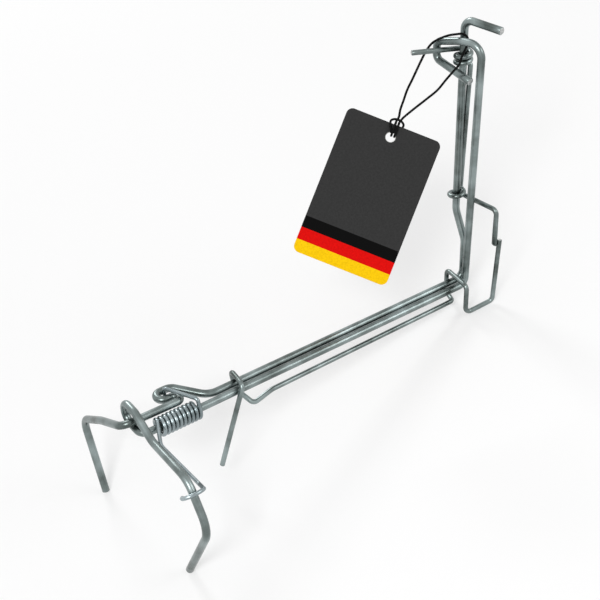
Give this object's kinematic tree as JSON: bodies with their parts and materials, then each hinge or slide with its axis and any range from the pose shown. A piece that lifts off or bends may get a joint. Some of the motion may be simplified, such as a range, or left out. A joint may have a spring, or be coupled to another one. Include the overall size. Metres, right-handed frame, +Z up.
{
  "type": "vole trap",
  "caption": "Sprung wire claw trap for voles, shown set, with a trigger wire, a release wire and a blank card tag on a string.",
  "frame": {"origin": "centre of the metal part's box, at the ground it stands on", "axes": "+Z up; +X from the jaws towards the uprights, along the object's length; +Y away from the moving jaw"},
  "size_m": [0.2012, 0.085, 0.1191],
  "materials": {
    "zinc_wire": "bright zinc plate with draw lines",
    "spring_wire": "bright zinc plate",
    "card": "printed card, charcoal with a black, a red and a gold band",
    "string": "thin waxed black string"
  },
  "bodies": {
    "frame": {"frame_wire": "zinc_wire"},
    "jaw": {"jaw_wire": "zinc_wire", "torsion_spring": "spring_wire", "tag_string": "string", "tag_tie": "string", "string_knot": "string", "hang_tag": "card"},
    "trigger": {"trigger_wire": "zinc_wire"},
    "release": {"release_wire": "zinc_wire"}
  },
  "joints": [
    {"name": "jaw_close", "type": "hinge", "parent": "frame", "child": "jaw", "pos_m": [-0.08086, 0.00548, 0.05057], "axis": [0.9633, -0.0114, -0.2683], "range_deg": [0, 50], "deforming": ["torsion_spring"]},
    {"name": "release_turn", "type": "hinge", "parent": "frame", "child": "release", "pos_m": [0.08326, 0.00903, 0.06611], "axis": [0.2539, 0, 0.9672], "range_deg": [0, 70]},
    {"name": "trigger_tip", "type": "hinge", "parent": "frame", "child": "trigger", "pos_m": [0.0085, 0.00373, 0.02473], "axis": [0.9672, 0, -0.2539], "range_deg": [0, 15]}
  ]
}
